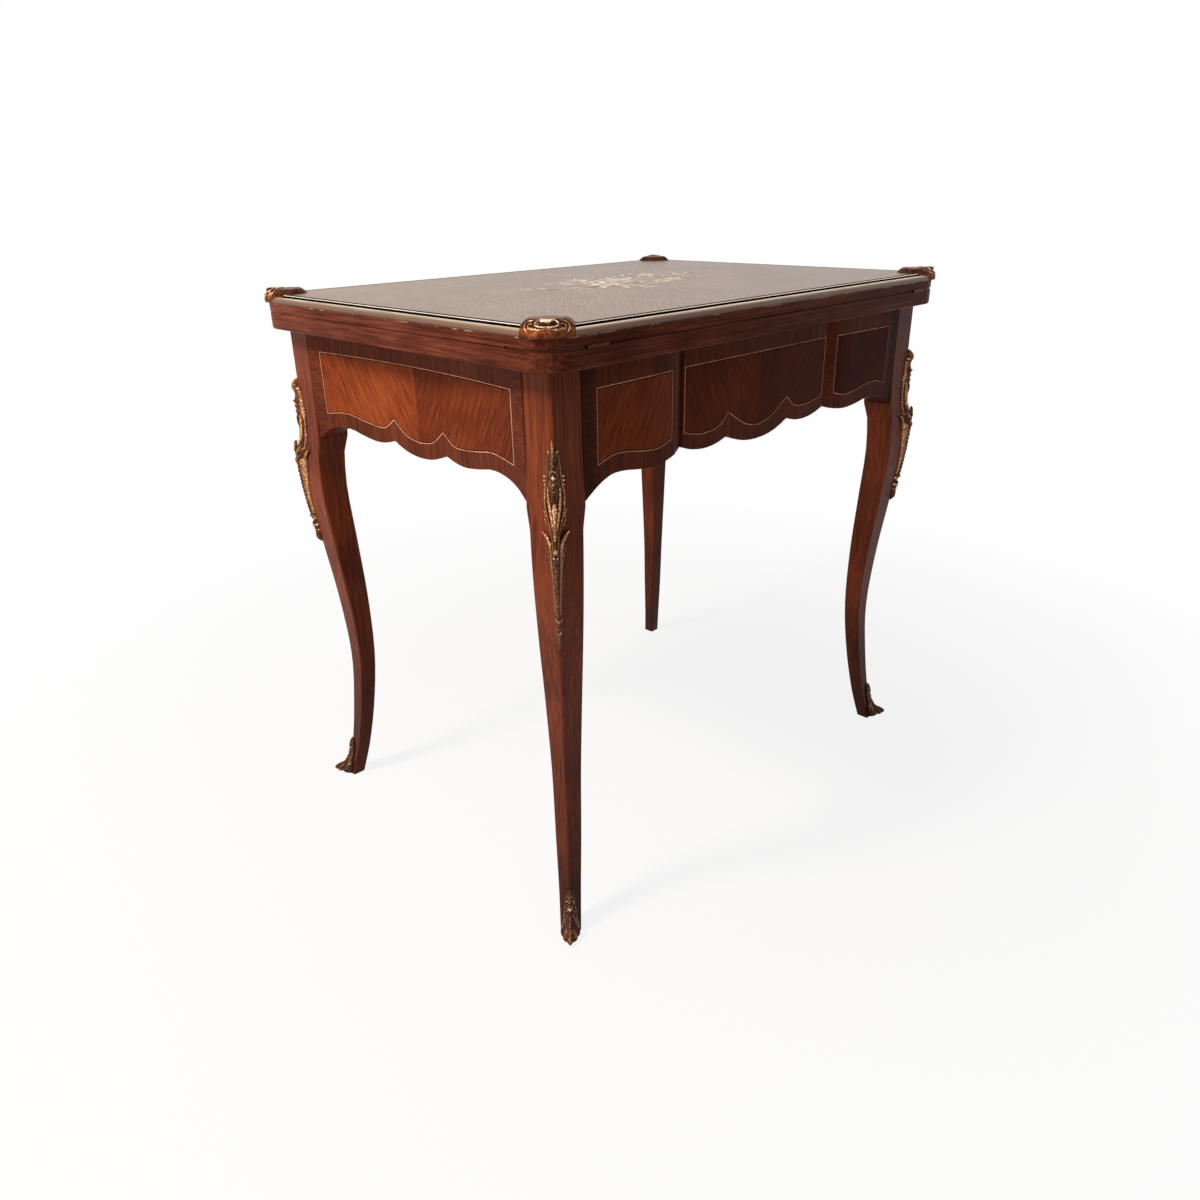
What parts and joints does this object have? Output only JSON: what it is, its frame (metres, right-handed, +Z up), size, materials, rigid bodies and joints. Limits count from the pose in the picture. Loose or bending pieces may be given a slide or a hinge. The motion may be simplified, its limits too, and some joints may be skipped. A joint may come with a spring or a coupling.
{
  "type": "games table",
  "caption": "Fold-over games table: a double top with baize inside swivels a quarter turn on a frame with cabriole legs and opens flat.",
  "frame": {"origin": "on the floor, under the centre of the closed top", "axes": "+Z up, X along the long side, -Y is the long front edge that carries the hinges"},
  "size_m": [0.795, 0.5801, 0.7729],
  "materials": {
    "polished_rosewood": "french polished",
    "rosewood_banding": "french polished veneer",
    "rosewood_top": "french polished veneer",
    "polished_rim": "polished and worn",
    "gilt_bronze": "cast and gilt, worn",
    "hinge_brass": "tarnished",
    "forged_iron": "dull",
    "plain_beech": "bare",
    "green_baize": "napped wool"
  },
  "bodies": {
    "frame": {"leg_front_left": "polished_rosewood", "leg_front_right": "polished_rosewood", "leg_back_left": "polished_rosewood", "leg_back_right": "polished_rosewood", "apron_front": "rosewood_banding", "apron_back": "rosewood_banding", "apron_left": "rosewood_banding", "apron_right": "rosewood_banding", "corner_block_front_left": "plain_beech", "corner_block_front_right": "plain_beech", "corner_block_back_left": "plain_beech", "corner_block_back_right": "plain_beech", "well_board": "plain_beech", "cleat_front": "plain_beech", "cleat_back": "plain_beech", "pivot_rail": "plain_beech", "knee_mount_front_left": "gilt_bronze", "knee_mount_front_right": "gilt_bronze", "knee_mount_back_left": "gilt_bronze", "knee_mount_back_right": "gilt_bronze", "sabot_front_left": "gilt_bronze", "sabot_front_right": "gilt_bronze", "sabot_back_left": "gilt_bronze", "sabot_back_right": "gilt_bronze"},
    "lower_leaf": {"lower_leaf": "rosewood_top", "baize_lower": "green_baize", "hinge_plate_lower_left": "hinge_brass", "hinge_plate_lower_right": "hinge_brass", "hinge_pin_left": "hinge_brass", "hinge_pin_right": "hinge_brass", "pivot_bolt": "forged_iron", "pivot_washer": "forged_iron", "pivot_nut": "forged_iron", "stop_block": "plain_beech"},
    "upper_leaf": {"upper_leaf": "rosewood_top", "baize_upper": "green_baize", "hinge_plate_upper_left": "hinge_brass", "hinge_plate_upper_right": "hinge_brass", "rim_front": "polished_rim", "rim_back": "polished_rim", "rim_left": "polished_rim", "rim_right": "polished_rim", "corner_mount_front_left": "gilt_bronze", "corner_mount_front_right": "gilt_bronze", "corner_mount_back_left": "gilt_bronze", "corner_mount_back_right": "gilt_bronze"}
  },
  "joints": [
    {"name": "top_swivel", "type": "hinge", "parent": "frame", "child": "lower_leaf", "pos_m": [-0.1445, -0.1445, 0.722], "axis": [0, 0, 1], "range_deg": [0, 90]},
    {"name": "leaf_fold", "type": "hinge", "parent": "lower_leaf", "child": "upper_leaf", "pos_m": [0, -0.2893, 0.7435], "axis": [1, 0, 0], "range_deg": [0, 180]}
  ]
}
